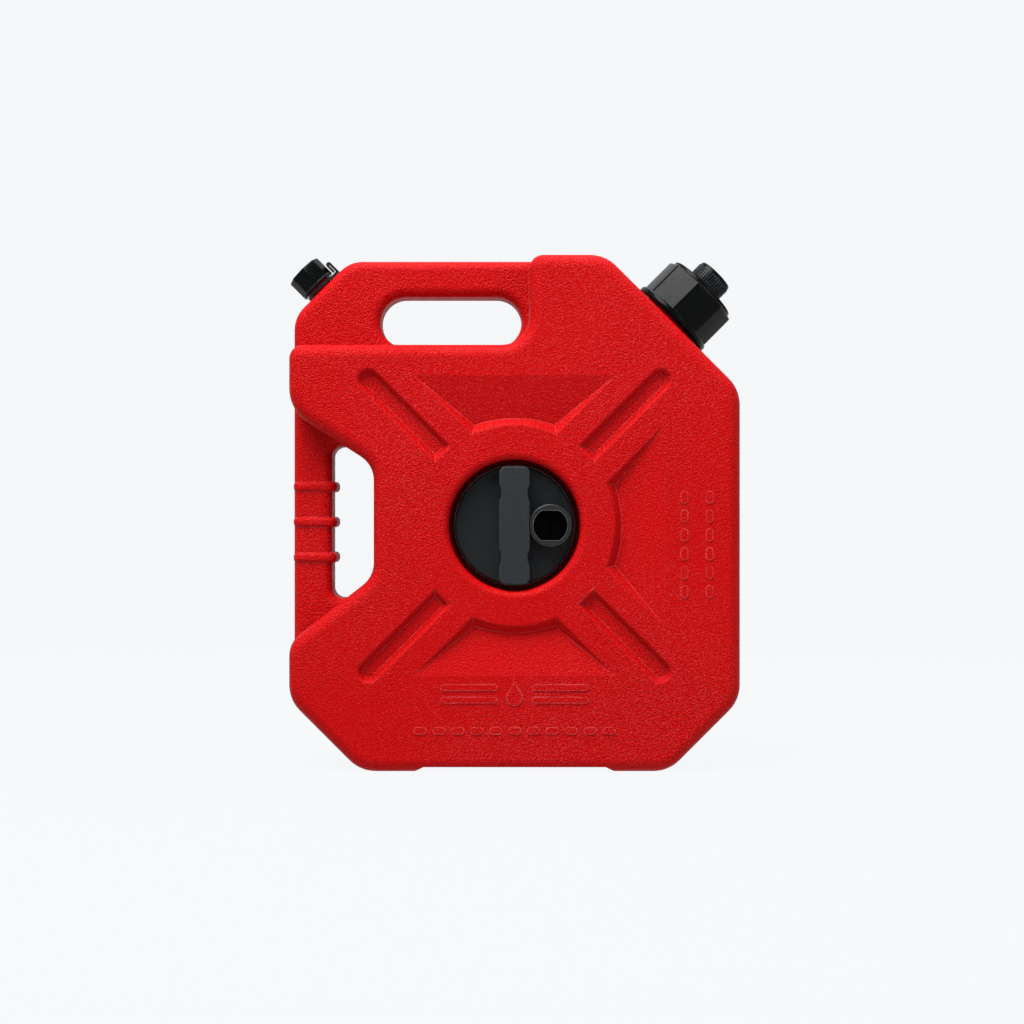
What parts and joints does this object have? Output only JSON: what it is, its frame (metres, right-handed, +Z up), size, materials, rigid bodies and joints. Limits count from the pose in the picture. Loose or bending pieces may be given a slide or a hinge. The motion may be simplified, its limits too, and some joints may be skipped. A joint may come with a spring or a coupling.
{
  "type": "jerry can",
  "caption": "Flat red fuel jerry can with two handles, a screw filler with stored spout, a vent cap and a keyed pack-lock knob through its middle.",
  "frame": {"origin": "on the standing surface, under the middle of the tank", "axes": "+Z up, +X towards the filler, -Y out of the front where the knob is"},
  "size_m": [0.2909, 0.0886, 0.3322],
  "materials": {
    "red_shell": "grained satin",
    "black_cap": "satin gloss",
    "black_strap": "satin",
    "charcoal_disc": "fine grain",
    "grey_grip": "fine grain",
    "lock_ring": "satin gloss",
    "lock_metal": "black",
    "black_rubber": "matt",
    "white_slip": "smooth",
    "steel": "zinc plated",
    "brass": "turned"
  },
  "bodies": {
    "tank": {"tank_shell": "red_shell", "vent_tether": "black_strap", "mount_base": "charcoal_disc", "base_pad": "black_rubber", "mount_post": "steel", "post_washer": "steel", "post_nut": "steel"},
    "spout": {"spout_base": "black_cap", "spout_nozzle": "black_cap", "spout_gasket": "black_rubber"},
    "collar": {"filler_collar": "black_cap"},
    "stopper_lift_body": {"stopper_seal": "black_rubber"},
    "stopper": {"stopper_cap": "black_cap"},
    "vent_lift_body": {"vent_seal": "black_rubber"},
    "vent": {"vent_cap": "black_cap"},
    "knob_slide_body": {"thrust_ring": "white_slip"},
    "knob": {"knob_disc": "charcoal_disc", "grip_bar": "grey_grip", "bar_screws": "steel", "knob_insert": "brass", "lock_bezel": "lock_ring", "lock_barrel": "lock_metal", "lock_nut": "steel"},
    "key_plug": {"lock_plug": "lock_metal", "lock_cam": "steel", "cam_screw": "steel"}
  },
  "joints": [
    {"name": "filler_lift", "type": "slide", "parent": "tank", "child": "spout", "axis": [0.7071, 0, 0.7071], "range_m": [0, 0.0176]},
    {"name": "collar_turn", "type": "hinge", "parent": "spout", "child": "collar", "pos_m": [0.09959, 0, 0.28841], "axis": [0.7071, 0, 0.7071], "range_deg": [0, 1260]},
    {"name": "stopper_lift", "type": "slide", "parent": "spout", "child": "stopper_lift_body", "axis": [0.7071, 0, 0.7071], "range_m": [0, 0.0091]},
    {"name": "stopper_turn", "type": "hinge", "parent": "stopper_lift_body", "child": "stopper", "pos_m": [0.09959, 0, 0.28841], "axis": [0.7071, 0, 0.7071], "range_deg": [0, 1080]},
    {"name": "vent_lift", "type": "slide", "parent": "tank", "child": "vent_lift_body", "axis": [-0.7071, 0, 0.7071], "range_m": [0, 0.0091]},
    {"name": "vent_turn", "type": "hinge", "parent": "vent_lift_body", "child": "vent", "pos_m": [-0.1252, 0, 0.3105], "axis": [-0.7071, 0, 0.7071], "range_deg": [0, 1080]},
    {"name": "knob_lift", "type": "slide", "parent": "tank", "child": "knob_slide_body", "axis": [0, -1, 0], "range_m": [0, 0.0211]},
    {"name": "knob_turn", "type": "hinge", "parent": "knob_slide_body", "child": "knob", "pos_m": [0, 0, 0.157], "axis": [0, -1, 0], "range_deg": [0, 2520]},
    {"name": "key_turn", "type": "hinge", "parent": "knob", "child": "key_plug", "pos_m": [0.0229, 0, 0.157], "axis": [0, -1, 0], "range_deg": [0, 90]}
  ],
  "couplings": [
    {"joint": "filler_lift", "follows": "collar_turn", "m_per_rad": 0.00079577},
    {"joint": "stopper_lift", "follows": "stopper_turn", "m_per_rad": 0.00047746},
    {"joint": "vent_lift", "follows": "vent_turn", "m_per_rad": 0.00047746},
    {"joint": "knob_lift", "follows": "knob_turn", "m_per_rad": 0.00047746}
  ]
}
